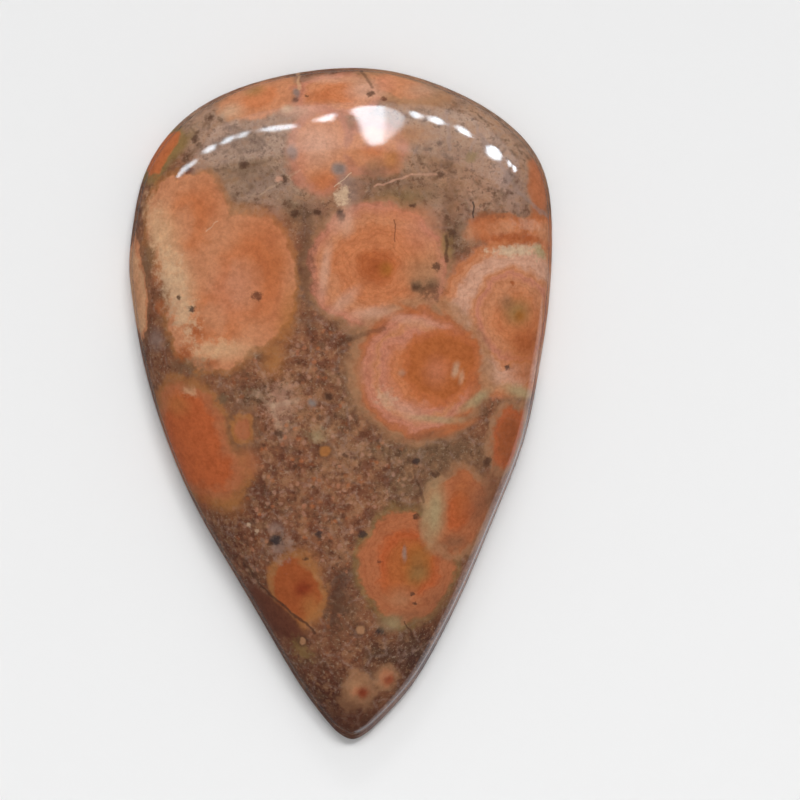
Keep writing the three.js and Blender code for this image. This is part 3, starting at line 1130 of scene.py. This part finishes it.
def mirrored(surface, camera, corners, distance):
    """Where a panel's corners are, so that the polish mirrors them at these points of the picture."""
    found = []
    for x, y in corners:
        spot = in_frame(x, y)
        aim = Vector((spot.x, spot.y, 0.001)) - camera.location
        point, normal = surface.seen(camera.location, aim.normalized())
        if point is None:
            raise RuntimeError(f"the highlight's corner {x}, {y} isn't on the stone")
        found.append(point + aim.normalized().reflect(normal) * distance)
    return found


def set_stage(stage, surface):
    """The pale floor, the camera straight above and the lights."""
    scene = bpy.context.scene
    scene.view_settings.view_transform = "Standard"

    mesh = bpy.data.meshes.new("floor")
    mesh.from_pydata([(-2, -2, 0), (2, -2, 0), (2, 2, 0), (-2, 2, 0)], [], [(0, 1, 2, 3)])
    floor = bpy.data.objects.new("floor", mesh)
    scene.collection.objects.link(floor)
    paper = bpy.data.materials.new("pale_floor")
    paper.use_nodes = True
    shader = paper.node_tree.nodes["Principled BSDF"]
    shader.inputs["Base Color"].default_value = (stage.floor,) * 3 + (1.0,)
    shader.inputs["Roughness"].default_value = 0.9
    mesh.materials.append(paper)
    floor.visible_glossy = False

    lens = bpy.data.cameras.new("camera")
    camera = bpy.data.objects.new("camera", lens)
    scene.collection.objects.link(camera)
    middle = in_frame(PICTURE / 2, PICTURE / 2)
    camera.location = (middle.x, middle.y, stage.camera_height)
    lens.sensor_width = 36
    lens.lens = 36 * (stage.camera_height - 0.001) / (PICTURE * PIXEL)
    lens.clip_end = 10
    scene.camera = camera

    world = bpy.data.worlds.new("studio")
    scene.world = world
    world.use_nodes = True
    tree = world.node_tree
    sky = tree.nodes["Background"]
    sky.inputs["Color"].default_value = (1.0, 1.0, 1.0, 1.0)
    mirrored_ray = node_of(tree, "ShaderNodeLightPath")["Is Glossy Ray"]
    strength = stage.daylight - mirrored_ray * (stage.daylight - stage.ceiling)
    tree.links.new(strength.socket, sky.inputs["Strength"])

    lamp_distance, haze_distance = 0.4, 0.5
    cool, warm, pale = (0.78, 0.9, 1.0), (1.0, 0.95, 0.97), (0.95, 0.95, 1.0)
    for name, strength, corners in LAMPS:
        emitter(name, mirrored(surface, camera, corners, lamp_distance), strength * stage.lamps, cool)
    emitter("haze_panel", mirrored(surface, camera, HAZE, haze_distance), stage.haze, warm)
    below = [(0.05, -0.45, -0.25), (0.5, -0.45, -0.25), (0.5, -0.02, -0.25), (0.05, -0.02, -0.25)]
    emitter("edge_panel", below, stage.glow, pale)

    lamp = bpy.data.lights.new("key_lamp", "AREA")
    lamp.energy = stage.key
    lamp.size = 0.5
    key = bpy.data.objects.new("key_lamp", lamp)
    key.location = (0.1, 0.55, 0.55)
    key.rotation_euler = (-key.location).to_track_quat("-Z", "Y").to_euler()
    key.visible_glossy = False
    scene.collection.objects.link(key)


class OBJECT_OT_poppy_jasper_stone(bpy.types.Operator):
    """Cut the cabochon from its outline, and paint the poppies in it"""

    bl_idname = "object.poppy_jasper_stone"
    bl_label = "Polished stone"

    def execute(self, context):
        scene = context.scene
        material = bpy.data.materials.new("polished_jasper")
        stone = cut_stone(scene.jasper_shape, scene.jasper_colours, material)
        paint_jasper(material, scene.jasper_colours, Surface(stone))
        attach(stone, "root")
        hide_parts(NODE)
        return {"FINISHED"}


class SCENE_OT_poppy_jasper_stage(bpy.types.Operator):
    """Lay the floor, and place the camera and the lights round the stone"""

    bl_idname = "scene.poppy_jasper_stage"
    bl_label = "Studio stage"

    def execute(self, context):
        stone = bpy.data.objects.get("polished_stone")
        if stone is None:
            raise RuntimeError("cut the stone first, because the lights are placed by what it mirrors")
        set_stage(context.scene.jasper_stage, Surface(stone))
        return {"FINISHED"}


class VIEW3D_PT_poppy_jasper(bpy.types.Panel):
    """The cabochon's sizes, colours and stage"""

    bl_label = "Poppy Jasper"
    bl_space_type = "VIEW_3D"
    bl_region_type = "UI"
    bl_category = "Jasper"

    def draw(self, context):
        layout = self.layout
        for group in (context.scene.jasper_shape, context.scene.jasper_colours, context.scene.jasper_stage):
            box = layout.box()
            for name in group.__annotations__:
                box.prop(group, name)
        layout.operator(OBJECT_OT_poppy_jasper_stone.bl_idname)
        layout.operator(SCENE_OT_poppy_jasper_stage.bl_idname)


CLASSES = (
    JasperShape,
    JasperColours,
    JasperStage,
    OBJECT_OT_poppy_jasper_stone,
    SCENE_OT_poppy_jasper_stage,
    VIEW3D_PT_poppy_jasper,
)


def register():
    for cls in CLASSES:
        bpy.utils.register_class(cls)
    bpy.types.Scene.jasper_shape = PointerProperty(type=JasperShape)
    bpy.types.Scene.jasper_colours = PointerProperty(type=JasperColours)
    bpy.types.Scene.jasper_stage = PointerProperty(type=JasperStage)


def unregister():
    del bpy.types.Scene.jasper_stage
    del bpy.types.Scene.jasper_colours
    del bpy.types.Scene.jasper_shape
    for cls in reversed(CLASSES):
        bpy.utils.unregister_class(cls)


def main():
    register()
    bpy.ops.object.poppy_jasper_stone()
    bpy.ops.scene.poppy_jasper_stage()


if __name__ == "__main__":
    main()
